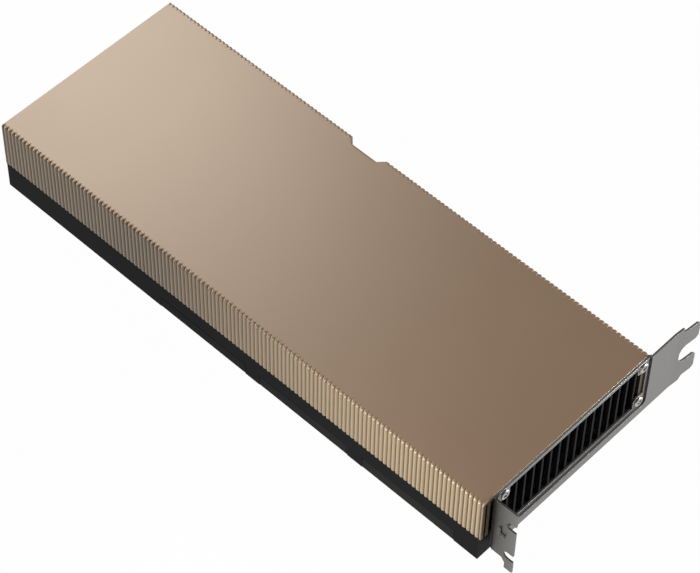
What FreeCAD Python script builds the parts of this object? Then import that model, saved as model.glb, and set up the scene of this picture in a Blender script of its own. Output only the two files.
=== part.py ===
"""Passive accelerator card: a full-height, dual-slot add-in card that a server's fans cool.

Frame: the origin is the card edge's key notch, at the contacts' tips and half way through the
board. +X points to the bracket, +Y out of the slot edge, +Z from the board to the shroud's top.
All sizes are millimetres.
"""
import FreeCAD, Part
import os

import Sketcher

Vector = FreeCAD.Vector
doc = FreeCAD.newDocument("accelerator_card")
sheet = doc.addObject("Spreadsheet::Sheet", "Dims")
PARTS = []


class Size:
    """A number together with the expression over the sheet's cells that gives it."""

    def __init__(self, value, text):
        self.value = value
        self.text = text

    def _join(self, other, sign, value):
        return Size(value, f"({self.text} {sign} {size(other).text})")

    def __add__(self, other):
        return self._join(other, "+", self.value + size(other).value)

    def __sub__(self, other):
        return self._join(other, "-", self.value - size(other).value)

    def __mul__(self, other):
        return self._join(other, "*", self.value * size(other).value)

    def __truediv__(self, other):
        return self._join(other, "/", self.value / size(other).value)

    def __neg__(self):
        return Size(-self.value, f"(0 - {self.text})")


def size(number):
    """Wraps a plain number, so that it can stand beside cells in an expression."""
    return number if isinstance(number, Size) else Size(float(number), repr(float(number)))


def cell(alias, number):
    """Writes one driving dimension into the sheet."""
    cell.row += 1
    sheet.set(f"A{cell.row}", alias)
    sheet.set(f"B{cell.row}", str(number))
    sheet.setAlias(f"B{cell.row}", alias)
    return Size(float(number), f"Dims.{alias}")


cell.row = 0

# ---- driving dimensions -------------------------------------------------------------------
# The board and its slot edge, as the add-in card standard gives them
board_thick = cell("board_thick", 1.57)
card_height = cell("card_height", 111.15)
key_to_bracket = cell("key_to_bracket", 57.15)
height_above = cell("height_above", 34.8)
height_below = cell("height_below", 2.67)
finger_depth = cell("finger_depth", 8.25)
key_width = cell("key_width", 1.9)
short_edge = cell("short_edge", 11.65)
long_edge = cell("long_edge", 71.65)
contact_pitch = cell("contact_pitch", 1.0)
slot_pitch = cell("slot_pitch", 20.32)
# The shroud
rib_pitch = cell("rib_pitch", 2.17)
rib_count = cell("rib_count", 123)
rib_depth = cell("rib_depth", 0.9)
rib_land = cell("rib_land", 0.7)
shroud_width = cell("shroud_width", 97.3)
shroud_height = cell("shroud_height", 24.65)
shroud_top = cell("shroud_top", 1.6)
shroud_wall = cell("shroud_wall", 2.4)
shroud_overhang = cell("shroud_overhang", 0.6)
frame_setback = cell("frame_setback", 0.95)
shroud_bevel = cell("shroud_bevel", 0.5)
latch_gap_front = cell("latch_gap_front", 139.8)
latch_gap_back = cell("latch_gap_back", 159.5)
latch_gap_depth = cell("latch_gap_depth", 3.2)
latch_gap_slope = cell("latch_gap_slope", 3.1)
# The frame and the plates under it
frame_wall = cell("frame_wall", 2.1)
frame_front_height = cell("frame_front_height", 5.0)
plate_sheet = cell("plate_sheet", 1.0)
post_half = cell("post_half", 2.8)
# The bracket and the vent
bracket_sheet = cell("bracket_sheet", 0.9)
bracket_length = cell("bracket_length", 120.02)
bracket_height = cell("bracket_height", 35.5)
bracket_bend = cell("bracket_bend", 1.5)
tab_inset = cell("tab_inset", 5.0)
tab_length = cell("tab_length", 11.8)
notch_width = cell("notch_width", 4.42)
tongue_width = cell("tongue_width", 10.16)
tongue_offset = cell("tongue_offset", 1.2)
vent_sheet = cell("vent_sheet", 0.8)
grille_thick = cell("grille_thick", 1.5)
grille_pitch = cell("grille_pitch", 5.0)
grille_slot = cell("grille_slot", 4.0)
grille_count = cell("grille_count", 16)
# Screws
fine_screw = cell("fine_screw", 1.25)
lug_screw = cell("lug_screw", 1.5)
# The cooler and the package under it
cooler_half = cell("cooler_half", 34.0)
fin_count = cell("fin_count", 34)
fin_thick = cell("fin_thick", 0.5)
cooler_base = cell("cooler_base", 4.0)
substrate_thick = cell("substrate_thick", 2.0)
die_thick = cell("die_thick", 0.8)
paste_thick = cell("paste_thick", 0.1)
doc.recompute()

# ---- planes that several pieces share -------------------------------------------------------
BOARD_TOP = board_thick / 2
BOARD_BOTTOM = -BOARD_TOP
TOP = BOARD_TOP + height_above
BASE = BOARD_BOTTOM - height_below
SHROUD_FOOT = TOP - shroud_height
SHROUD_CEILING = TOP - shroud_top
BOARD_BACK_EDGE = -card_height
SIDE = BOARD_BACK_EDGE - shroud_wall
SKIN = SIDE + shroud_overhang
FAR_SIDE = SIDE + shroud_width
FRONT = key_to_bracket - vent_sheet
LENGTH = rib_pitch * rib_count
REAR = FRONT - LENGTH
FRAME_FAR = FAR_SIDE - shroud_overhang
FRAME_FRONT = FRONT - frame_setback
BOARD_FRONT = FRAME_FRONT - 1.45
BRACKET_IN = key_to_bracket
BRACKET_OUT = key_to_bracket + bracket_sheet
TAB_FACE = SIDE + tab_inset
PLATE_IN = BASE + plate_sheet


# ---- helpers over the document --------------------------------------------------------------
def body(label):
    piece = doc.addObject("PartDesign::Body", label)
    piece.Label = label
    PARTS.append(piece)
    return piece


def origin_feature(piece, role):
    return [f for f in piece.Origin.OriginFeatures if f.Role == role][0]


def sketch(piece, name, plane, level=0):
    """A sketch on XY, XZ or YZ, moved to the given Z, Y or X."""
    drawing = piece.newObject("Sketcher::SketchObject", name)
    drawing.AttachmentSupport = [(origin_feature(piece, plane + "_Plane"), "")]
    drawing.MapMode = "FlatFace"
    along_normal = -size(level) if plane == "XZ" else size(level)
    drawing.setExpression("AttachmentOffset.Base.z", along_normal.text)
    return drawing


def hold(drawing, kind, *where, value):
    """One dimension of a sketch, bound to the sheet."""
    value = size(value)
    index = drawing.addConstraint(Sketcher.Constraint(kind, *where, value.value))
    drawing.setExpression(f"Constraints[{index}]", value.text)


def pin_point(drawing, edge, end, point):
    hold(drawing, "DistanceX", -1, 1, edge, end, value=point[0])
    hold(drawing, "DistanceY", -1, 1, edge, end, value=point[1])


def outline(drawing, corners, arcs=None):
    """A closed outline. arcs gives, for the edge that leaves a corner, its centre and radius."""
    arcs = arcs or {}
    points = [Vector(size(x).value, size(y).value, 0) for x, y in corners]
    ends = []
    for i, start in enumerate(points):
        stop = points[(i + 1) % len(points)]
        if i in arcs:
            (cx, cy), radius = arcs[i]
            centre = Vector(size(cx).value, size(cy).value, 0)
            middle = (start + stop) * 0.5 - centre
            middle = centre + middle.normalize() * size(radius).value
            edge = drawing.addGeometry(Part.Arc(start, middle, stop), False)
            hold(drawing, "Radius", edge, value=radius)
            turns_left = (start - centre).cross(middle - centre).z > 0
            ends.append((edge, 1, 2) if turns_left else (edge, 2, 1))
        else:
            edge = drawing.addGeometry(Part.LineSegment(start, stop), False)
            ends.append((edge, 1, 2))
    for i, (edge, first, last) in enumerate(ends):
        following, its_first, _ = ends[(i + 1) % len(ends)]
        drawing.addConstraint(Sketcher.Constraint("Coincident", edge, last, following, its_first))
        pin_point(drawing, edge, first, corners[i])


def rectangle(drawing, x0, x1, y0, y1):
    outline(drawing, [(x0, y0), (x1, y0), (x1, y1), (x0, y1)])


def circle(drawing, x, y, radius):
    centre = Vector(size(x).value, size(y).value, 0)
    edge = drawing.addGeometry(Part.Circle(centre, Vector(0, 0, 1), size(radius).value), False)
    hold(drawing, "Radius", edge, value=radius)
    pin_point(drawing, edge, 3, (x, y))


def long_slot(drawing, y, z0, z1):
    """One of the grille's openings: upright, with bevelled corners."""
    half, bevel = grille_slot / 2, 0.9
    outline(drawing, [
        (y - half + bevel, z0), (y + half - bevel, z0), (y + half, z0 + bevel),
        (y + half, z1 - bevel), (y + half - bevel, z1), (y - half + bevel, z1),
        (y - half, z1 - bevel), (y - half, z0 + bevel)])


def pad(piece, drawing, length, reverse=False, centred=False):
    feature = piece.newObject("PartDesign::Pad", drawing.Name + "_pad")
    feature.Profile = drawing
    feature.setExpression("Length", size(length).text)
    feature.Reversed = reverse
    feature.Midplane = centred
    return feature


def cut(piece, drawing, depth=None, reverse=False):
    """A pocket: through everything both ways, or to a depth; it has to take material away."""
    doc.recompute()
    before = piece.Shape.Volume
    feature = piece.newObject("PartDesign::Pocket", drawing.Name + "_cut")
    feature.Profile = drawing
    if depth is None:
        feature.Type = "ThroughAll"
        feature.Midplane = True
    else:
        feature.setExpression("Length", size(depth).text)
        feature.Reversed = reverse
    doc.recompute()
    if not piece.Shape.Volume < before - 1e-6:
        raise RuntimeError(f"{drawing.Name} cuts nothing")
    return feature


def pattern(piece, feature, axis, pitch, count, reverse=False):
    row = piece.newObject("PartDesign::LinearPattern", feature.Name + "_row")
    row.Originals = [feature]
    row.Direction = (origin_feature(piece, axis + "_Axis"), [""])
    row.Reversed = reverse
    row.setExpression("Length", (pitch * (count - 1)).text)
    row.setExpression("Occurrences", size(count).text)
    piece.Tip = row
    return row


def round_edges(piece, radius, wanted, kind="Fillet"):
    """Rounds or bevels the edges whose middle and direction the test accepts."""
    doc.recompute()
    tip = piece.Tip
    names = []
    for i, edge in enumerate(tip.Shape.Edges):
        if edge.Curve.TypeId != "Part::GeomLine":
            continue
        a, b = edge.Vertexes[0].Point, edge.Vertexes[1].Point
        if wanted((a + b) * 0.5, (b - a).normalize(), edge.Length):
            names.append(f"Edge{i + 1}")
    if not names:
        raise RuntimeError(f"no edge to round on {piece.Label}")
    feature = piece.newObject("PartDesign::" + kind, piece.Label + "_" + kind.lower())
    feature.Base = (tip, names)
    feature.setExpression("Radius" if kind == "Fillet" else "Size", size(radius).text)
    doc.recompute()
    return feature


def block(label, x0, x1, y0, y1, z0, z1, listed=True):
    """A Part::Box between two corners."""
    box = doc.addObject("Part::Box", label)
    box.Label = label
    low = [size(v) for v in (x0, y0, z0)]
    high = [size(v) for v in (x1, y1, z1)]
    for name, a, b in zip(("Length", "Width", "Height"), low, high):
        box.setExpression(name, (b - a).text)
    for name, a in zip("xyz", low):
        box.setExpression(f"Placement.Base.{name}", a.text)
    if listed:
        PARTS.append(box)
    return box


def group(label, shapes):
    """Identical small pieces in one node, each its own solid."""
    piece = doc.addObject("Part::Feature", label)
    piece.Label = label
    piece.Shape = Part.makeCompound(shapes)
    PARTS.append(piece)
    return piece


def copies(shape, places):
    """The shape once at each place, as separate solids."""
    made = []
    for x, y, z in places:
        one = shape.copy()
        one.translate(Vector(x, y, z))
        made.append(one)
    return made


# ---- where the screws stand -----------------------------------------------------------------
POST_ALONG = [FRONT - d for d in (10.3, 260.0)]
POST_NEAR = SIDE + 6.0
POST_FAR = SIDE + 91.0
VENT_NEAR = SIDE + 11.3
VENT_FAR = SIDE + 92.4
VENT_HIGH = TOP - 3.3
VENT_LOW = TOP - 25.9
LUG_ALONG = FRONT - 8.0
LUG_ACROSS = [SIDE + 22.0, SIDE + 76.0]
GPU_X = FRONT - 122.0
GPU_Y = SIDE + 50.0
COOLER_PLACES = [(GPU_X + cooler_half * a, GPU_Y + cooler_half * b) for a in (-1, 1) for b in (-1, 1)]
LUG_PLACES = [(LUG_ALONG, y) for y in LUG_ACROSS]
CORNER_PLACES = [(x, y) for x in POST_ALONG for y in (POST_NEAR, POST_FAR)]


# ---- the shroud -----------------------------------------------------------------------------
def make_shroud():
    """A deep U with ribbed side walls, open at both ends for the air."""
    shroud = body("shroud")
    r = shroud_bevel
    section = sketch(shroud, "shroud_section", "YZ", REAR)
    inner_near, inner_far = SIDE + shroud_wall, FAR_SIDE - shroud_wall
    outline(section, [
        (SIDE, SHROUD_FOOT), (inner_near, SHROUD_FOOT), (inner_near, SHROUD_CEILING),
        (inner_far, SHROUD_CEILING), (inner_far, SHROUD_FOOT), (FAR_SIDE, SHROUD_FOOT),
        (FAR_SIDE, TOP - r), (FAR_SIDE - r, TOP), (SIDE + r, TOP), (SIDE, TOP - r)])
    pad(shroud, section, LENGTH)

    # The far wall steps in behind the gap for the slot's latch
    backing = sketch(shroud, "latch_backing", "XY", SHROUD_FOOT)
    gap_a, gap_b = FRONT - latch_gap_back, FRONT - latch_gap_front
    floor = FAR_SIDE - latch_gap_depth
    lining = shroud_wall - rib_depth
    outline(backing, [
        (gap_a - 1, inner_far + 0.3), (gap_a + latch_gap_slope - 1, floor - lining),
        (gap_b - latch_gap_slope + 1, floor - lining), (gap_b + 1, inner_far + 0.3)])
    pad(shroud, backing, shroud_height - 0.5)

    # Ends of the side walls turn in at the bracket; the near one carries a narrow groove
    returns = sketch(shroud, "front_returns", "YZ", FRONT)
    rectangle(returns, inner_near - 0.3, SIDE + 6.2, SHROUD_FOOT, SHROUD_CEILING + 0.3)
    rectangle(returns, SIDE + 92.6, inner_far + 0.3, SHROUD_FOOT + 1.5, SHROUD_CEILING + 0.3)
    pad(shroud, returns, 2.0, reverse=True)
    groove = sketch(shroud, "front_groove", "YZ", FRONT)
    rectangle(groove, SIDE + 2.8, SIDE + 3.9, SHROUD_FOOT - 1, TOP - 0.9)
    cut(shroud, groove, 1.8)

    # Blocks for the vent's upper screws, and posts for the long corner screws
    blocks = sketch(shroud, "vent_blocks", "YZ", FRONT - grille_thick)
    rectangle(blocks, VENT_NEAR - 3, VENT_NEAR + 3, VENT_HIGH - 3.2, SHROUD_CEILING + 0.3)
    rectangle(blocks, VENT_FAR - 2.2, inner_far + 0.3, VENT_HIGH - 3.2, SHROUD_CEILING + 0.3)
    pad(shroud, blocks, 7.0, reverse=True)
    posts = sketch(shroud, "corner_posts", "XY", BOARD_TOP + 6)
    for x, y in CORNER_PLACES:
        rectangle(posts, x - post_half, x + post_half, y - post_half, y + post_half)
    pad(shroud, posts, SHROUD_CEILING - (BOARD_TOP + 6) + 0.3)

    gap = sketch(shroud, "latch_gap", "XY", TOP)
    outline(gap, [
        (gap_a, FAR_SIDE), (gap_a + latch_gap_slope, floor), (gap_b - latch_gap_slope, floor),
        (gap_b, FAR_SIDE), (gap_b, FAR_SIDE + 1), (gap_a, FAR_SIDE + 1)])
    cut(shroud, gap)

    vent_holes = sketch(shroud, "vent_threads", "YZ", FRONT)
    for y in (VENT_NEAR, VENT_FAR):
        circle(vent_holes, y, VENT_HIGH, fine_screw)
    cut(shroud, vent_holes, 7.5)
    post_holes = sketch(shroud, "post_threads", "XY", BOARD_TOP + 6)
    for x, y in CORNER_PLACES:
        circle(post_holes, x, y, fine_screw)
    cut(shroud, post_holes, 8.0, reverse=True)

    # Ribs: one vee groove down each side wall, repeated over the whole length
    groove = sketch(shroud, "rib_groove", "XY", SHROUD_FOOT - 1)
    a, b = REAR + rib_land / 2, REAR + rib_pitch - rib_land / 2
    for wall, way in ((SIDE, 1), (FAR_SIDE, -1)):
        outline(groove, [
            (a, wall - way), (b, wall - way), (b, wall),
            (REAR + rib_pitch / 2, wall + rib_depth * way), (a, wall)])
    ribs = cut(shroud, groove, shroud_height + 2, reverse=True)
    pattern(shroud, ribs, "X", rib_pitch, rib_count)


# ---- the frame round the board ---------------------------------------------------------------
def make_base_frame():
    """A cast ring: the black band under the ribs, the low end walls and the screw posts."""
    frame = body("base_frame")
    floor = BOARD_TOP
    wall = frame_wall
    ring = sketch(frame, "frame_ring", "XY", floor)
    rectangle(ring, REAR, FRAME_FRONT, SKIN, FRAME_FAR)
    rectangle(ring, REAR + wall, FRAME_FRONT - wall, SKIN + wall, FRAME_FAR - wall)
    pad(frame, ring, SHROUD_FOOT - floor)

    # The near wall and the two ends reach down past the board to the base
    skirt = sketch(frame, "frame_skirt", "XY", BASE)
    thin = size(1.4)
    outline(skirt, [
        (REAR, FRAME_FAR), (REAR, SKIN), (FRAME_FRONT, SKIN), (FRAME_FRONT, FRAME_FAR),
        (FRAME_FRONT - thin, FRAME_FAR), (FRAME_FRONT - thin, SKIN + thin),
        (REAR + thin, SKIN + thin), (REAR + thin, FRAME_FAR)])
    pad(frame, skirt, floor - BASE)

    # Air passes over the middle of both end walls
    front_air = sketch(frame, "front_air", "YZ", FRAME_FRONT + 1)
    rectangle(front_air, SIDE + 9, SIDE + 90, floor + frame_front_height, SHROUD_FOOT + 1)
    cut(frame, front_air, wall + 1)
    rear_air = sketch(frame, "rear_air", "YZ", REAR - 1)
    rectangle(rear_air, SIDE + 33, SIDE + 80, floor + frame_front_height, SHROUD_FOOT + 1)
    cut(frame, rear_air, wall + 1, reverse=True)
    power_cut = sketch(frame, "power_cut", "YZ", REAR - 1)
    rectangle(power_cut, SIDE + 12, SIDE + 33, floor, SHROUD_FOOT + 1)
    cut(frame, power_cut, wall + 1, reverse=True)

    # Posts for the screws that come up through the board
    posts = sketch(frame, "frame_posts", "XY", floor)
    for x in POST_ALONG:
        rectangle(posts, x - post_half, x + post_half, SKIN + 0.5, POST_NEAR + post_half)
        rectangle(posts, x - post_half, x + post_half, POST_FAR - post_half, FRAME_FAR - 0.5)
    pad(frame, posts, 6.0)
    vent_posts = sketch(frame, "vent_posts", "YZ", FRONT)
    crown = SHROUD_FOOT + 1.3
    rectangle(vent_posts, SIDE + 8.4, SIDE + 14.5, VENT_LOW - 2.6, crown)
    rectangle(vent_posts, SIDE + 90.1, SIDE + 94.7, VENT_LOW - 2.6, crown)
    pad(frame, vent_posts, 7.0, reverse=True)

    # Holes: board screws, vent screws, and the two threads that hold a long card's rear end
    post_holes = sketch(frame, "post_holes", "XY", floor)
    for x, y in CORNER_PLACES:
        circle(post_holes, x, y, fine_screw)
    cut(frame, post_holes, 6.5, reverse=True)
    vent_holes = sketch(frame, "low_vent_threads", "YZ", FRONT)
    for y in (VENT_NEAR, VENT_FAR):
        circle(vent_holes, y, VENT_LOW, fine_screw)
    cut(frame, vent_holes, 6.0)
    tails = sketch(frame, "rear_bosses", "YZ", REAR)
    for y in (SIDE + 8, SIDE + 87):
        rectangle(tails, y - 3, y + 3, floor + 0.8, floor + 7.8)
    pad(frame, tails, 3.9)
    threads = sketch(frame, "rear_threads", "YZ", REAR)
    for y in (SIDE + 8, SIDE + 87):
        circle(threads, y, floor + 4.3, lug_screw)
    cut(frame, threads, 3.9, reverse=True)

    # Ways in for the bracket's lugs, and the three openings of the link connectors
    lugs = sketch(frame, "lug_ways", "YZ", FRAME_FRONT + 1)
    for y in LUG_ACROSS:
        rectangle(lugs, y - 5.5, y + 5.5, floor, floor + 1.3)
    cut(frame, lugs, wall + 1)
    links = sketch(frame, "link_ways", "XZ", SKIN - 1)
    for start, stop in link_spans():
        rectangle(links, start - 0.25, stop + 0.25, BASE - 1, LINK_TOP + 0.25)
    cut(frame, links, wall + 1.1)


LINK_TOP = BOARD_TOP + 1.8


def link_spans():
    """Start and end of the three link connectors, counted back from the front."""
    length, pitch, first = 48.0, 56.5, 13.5
    return [(FRONT - (first + pitch * k + length), FRONT - (first + pitch * k)) for k in range(3)]


def make_link_covers():
    """Plastic caps that clip over the board's link contacts and fill the frame's openings."""
    for name, (start, stop) in zip(("front", "middle", "rear"), link_spans()):
        cover = body(f"link_cover_{name}")
        section = sketch(cover, f"link_{name}_section", "YZ", start)
        inside, back = SKIN + 1.5, SKIN + 5.0
        outline(section, [
            (SKIN, BASE + 0.4), (SKIN + 0.4, BASE), (back, BASE), (back, BOARD_BOTTOM),
            (inside, BOARD_BOTTOM), (inside, BOARD_TOP), (back, BOARD_TOP), (back, LINK_TOP),
            (SKIN + 0.4, LINK_TOP), (SKIN, LINK_TOP - 0.4)])
        pad(cover, section, stop - start)


# ---- the board and what it carries ------------------------------------------------------------
def make_board():
    """The circuit board with its slot edge: two contact fields, key notch and latch hook."""
    board = body("circuit_board")
    plan = sketch(board, "board_plan", "XY")
    half_key = key_width / 2
    shoulder = -finger_depth
    front, rear = BOARD_FRONT, REAR + 1.4
    short_end, long_end = half_key + short_edge, -(half_key + long_edge)
    outline(plan, [
        (rear, BOARD_BACK_EDGE), (front, BOARD_BACK_EDGE), (front, shoulder - 3),
        (front - 6, shoulder), (short_end, shoulder), (short_end, size(-0.8)),
        (short_end - 0.8, size(0)), (half_key, size(0)), (half_key, shoulder + 0.6),
        (-half_key, shoulder + 0.6), (-half_key, size(0)), (long_end + 0.8, size(0)),
        (long_end, size(-0.8)), (long_end, shoulder), (long_end - 4.2, shoulder),
        (long_end - 4.2, size(-3.3)), (long_end - 6.6, size(-3.3)), (long_end - 6.6, size(-5.0)),
        (long_end - 9.4, size(-5.0)), (long_end - 9.4, size(-3.3)), (long_end - 11.6, size(-3.3)),
        (long_end - 11.6, shoulder), (long_end - 30, shoulder), (long_end - 36, FRAME_FAR),
        (rear, FRAME_FAR)])
    pad(board, plan, board_thick, centred=True)
    holes = sketch(board, "board_holes", "XY")
    for x, y in CORNER_PLACES:
        circle(holes, x, y, fine_screw + 0.15)
    for x, y in COOLER_PLACES + LUG_PLACES:
        circle(holes, x, y, lug_screw + 0.15)
    cut(board, holes)
    round_edges(board, 0.5, kind="Chamfer",
                wanted=lambda mid, way, length: abs(way.x) > 0.99 and abs(mid.y) < 0.01)


def make_contacts():
    """The slot edge's contact fields, short and long, gold on both faces of the board."""
    thick, deep, lead_in = 0.04, 4.6, 0.7
    edge = key_width.value / 2 + 0.3
    fields = []
    for count, way in ((11, 1), (71, -1)):
        long = contact_pitch.value * count - 0.3
        start = edge if way > 0 else -edge - long
        for z in (BOARD_TOP.value, BOARD_BOTTOM.value - thick):
            fields.append(Part.makeBox(long, deep, thick, Vector(start, -lead_in - deep, z)))
    group("edge_contacts", fields)


def rounded_box(length, width, height, bevel):
    """A moulded block on its own centre, its four upper edges bevelled."""
    box = Part.makeBox(length, width, height, Vector(-length / 2, -width / 2, 0))
    upper = [e for e in box.Edges if min(v.Z for v in e.Vertexes) > height - 1e-6]
    return box.makeChamfer(bevel, upper)


def make_board_parts():
    """Voltage regulator, its capacitors and the small chips."""
    z = BOARD_TOP.value
    front, side = FRONT.value, SIDE.value
    gx, gy = GPU_X.value, GPU_Y.value
    ranks = [(gx + 58, 1), (gx - 58, -1)]
    coils, stages, cans = [], [], []
    for x, way in ranks:
        for k in range(7):
            y = gy - 33 + 11 * k
            coils.append((x, y, z))
            stages.append((x + 8.5 * way, y, z))
    for k in range(6):
        cans.append((gx - 78, gy - 30 + 12 * k, z))
    group("power_inductors", copies(rounded_box(8.4, 8.4, 5.0, 0.5), coils))
    group("power_stages", copies(rounded_box(5, 6, 0.9, 0.1), stages))
    group("bulk_capacitors", copies(rounded_box(7.3, 4.3, 2.8, 0.3), cans))
    chips = [(front - 30, side + 34, z), (front - 30, side + 60, z), (front - 226, side + 60, z),
             (front - 240, side + 78, z)]
    group("control_chips", copies(rounded_box(9, 9, 1.0, 0.15), chips))
    pads = [(x, gy, z + 5.0) for x, _ in ranks]
    soft = Part.makeBox(9.4, 76, COOLER_TOP.value - z - 5.0, Vector(-4.7, -38, 0))
    group("coil_thermal_pads", copies(soft, pads))


COOLER_FOOT = BOARD_TOP + substrate_thick + die_thick + paste_thick
COOLER_TOP = COOLER_FOOT + cooler_base


def make_package():
    """The processor package: carrier, stiffener ring, die, memory stacks and paste."""
    z = BOARD_TOP
    half = size(27.5)
    block("package_carrier", GPU_X - half, GPU_X + half, GPU_Y - half, GPU_Y + half,
          z, z + substrate_thick)
    ring = body("package_stiffener")
    plan = sketch(ring, "stiffener_plan", "XY", z + substrate_thick)
    rectangle(plan, GPU_X - half, GPU_X + half, GPU_Y - half, GPU_Y + half)
    rectangle(plan, GPU_X - half + 4, GPU_X + half - 4, GPU_Y - half + 4, GPU_Y + half - 4)
    pad(ring, plan, 0.6)
    die_z = z + substrate_thick
    block("processor_die", GPU_X - 16, GPU_X + 16, GPU_Y - 12.5, GPU_Y + 12.5,
          die_z, die_z + die_thick)
    block("thermal_paste", GPU_X - 16, GPU_X + 16, GPU_Y - 22.5, GPU_Y + 22.5,
          die_z + die_thick, die_z + die_thick + paste_thick)
    stack = Part.makeBox(10, 7.5, die_thick.value, Vector(-5, -3.75, 0))
    spots = [(GPU_X.value + 10.8 * i, GPU_Y.value + 17.5 * side, die_z.value)
             for i in (-1, 0, 1) for side in (-1, 1)]
    group("memory_stacks", copies(stack, spots))


def make_cooler():
    """Vapour chamber with its screw posts, and the comb of fins that the air passes."""
    chamber = body("vapour_chamber")
    plan = sketch(chamber, "chamber_plan", "XY", COOLER_FOOT)
    x0, x1 = GPU_X - 50, GPU_X + 50
    y0, y1 = SIDE + 9.5, SIDE + 88
    rectangle(plan, x0, x1, y0, y1)
    pad(chamber, plan, cooler_base)
    posts = sketch(chamber, "chamber_posts", "XY", BOARD_TOP)
    for x, y in COOLER_PLACES:
        rectangle(posts, x - 3.2, x + 3.2, y - 3.2, y + 3.2)
    pad(chamber, posts, COOLER_FOOT - BOARD_TOP + 0.2)
    holes = sketch(chamber, "chamber_threads", "XY", BOARD_TOP)
    for x, y in COOLER_PLACES:
        circle(holes, x, y, lug_screw)
    cut(chamber, holes, 4.5, reverse=True)

    comb = body("fin_stack")
    floor, skin = COOLER_TOP, size(1.0)
    step = (y1 - y0 - fin_thick) / (fin_count - 1)
    corners = [(y0, floor), (y1, floor)]
    crest = SHROUD_CEILING - 0.4
    for k in reversed(range(int(fin_count.value))):
        left = y0 + step * k
        corners += [(left + fin_thick, crest), (left, crest)]
        if k:
            corners += [(left, floor + skin), (left - step + fin_thick, floor + skin)]
    section = sketch(comb, "fin_section", "YZ", REAR + 30)
    outline(section, corners)
    pad(comb, section, LENGTH - 30 - 10)


# ---- plates under the board ---------------------------------------------------------------------
def make_backplate():
    """Flat sheet with bosses under the board's screws and countersunk holes for them."""
    plate = body("backplate")
    plan = sketch(plate, "backplate_plan", "XY", BASE)
    rectangle(plan, REAR + 1.4, BOARD_FRONT, SKIN + 5.0, FRAME_FAR)
    pad(plate, plan, plate_sheet)
    edge = sketch(plate, "backplate_edge", "XY", BASE)
    spans = link_spans()
    stops = [REAR + 1.4, spans[2][0] - 0.25, spans[2][1] + 0.25, spans[1][0] - 0.25,
             spans[1][1] + 0.25, spans[0][0] - 0.25, spans[0][1] + 0.25, BOARD_FRONT]
    for a, b in zip(stops[0::2], stops[1::2]):
        rectangle(edge, a, b, SKIN + 1.4, SKIN + 5.0)
    pad(plate, edge, plate_sheet)
    bosses = sketch(plate, "backplate_bosses", "XY", PLATE_IN)
    for x, y in CORNER_PLACES:
        rectangle(bosses, x - post_half, x + post_half, y - post_half, y + post_half)
    pad(plate, bosses, BOARD_BOTTOM - PLATE_IN)
    windows = sketch(plate, "backplate_windows", "XY", BASE)
    for x, y in COOLER_PLACES + LUG_PLACES:
        rectangle(windows, x - 3.6, x + 3.6, y - 3.6, y + 3.6)
    cut(plate, windows)
    places = sketch(plate, "backplate_screw_places", "XY", BASE)
    for x, y in CORNER_PLACES:
        circle(places, x, y, fine_screw + 0.15)
    doc.recompute()
    before = plate.Shape.Volume
    holes = plate.newObject("PartDesign::Hole", "countersunk_holes")
    holes.Profile = places
    holes.DepthType = "ThroughAll"
    holes.Threaded = False
    holes.setExpression("Diameter", ((fine_screw + 0.15) * 2).text)
    holes.HoleCutType = "Countersink"
    holes.HoleCutCustomValues = True
    holes.HoleCutDiameter = 4.8
    holes.HoleCutCountersinkAngle = 90
    holes.Reversed = True
    doc.recompute()
    if not plate.Shape.Volume < before:
        raise RuntimeError("the backplate's screw holes cut nothing")


def make_insulator():
    """Thin film between the backplate and the board's solder joints."""
    film = body("insulator_film")
    plan = sketch(film, "film_plan", "XY", PLATE_IN)
    rectangle(plan, REAR + 4, FRONT - 4, SKIN + 9.5, FRAME_FAR - 8.6)
    for x, y in COOLER_PLACES + LUG_PLACES:
        rectangle(plan, x - 3.9, x + 3.9, y - 3.9, y + 3.9)
    pad(film, plan, 0.2)


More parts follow.
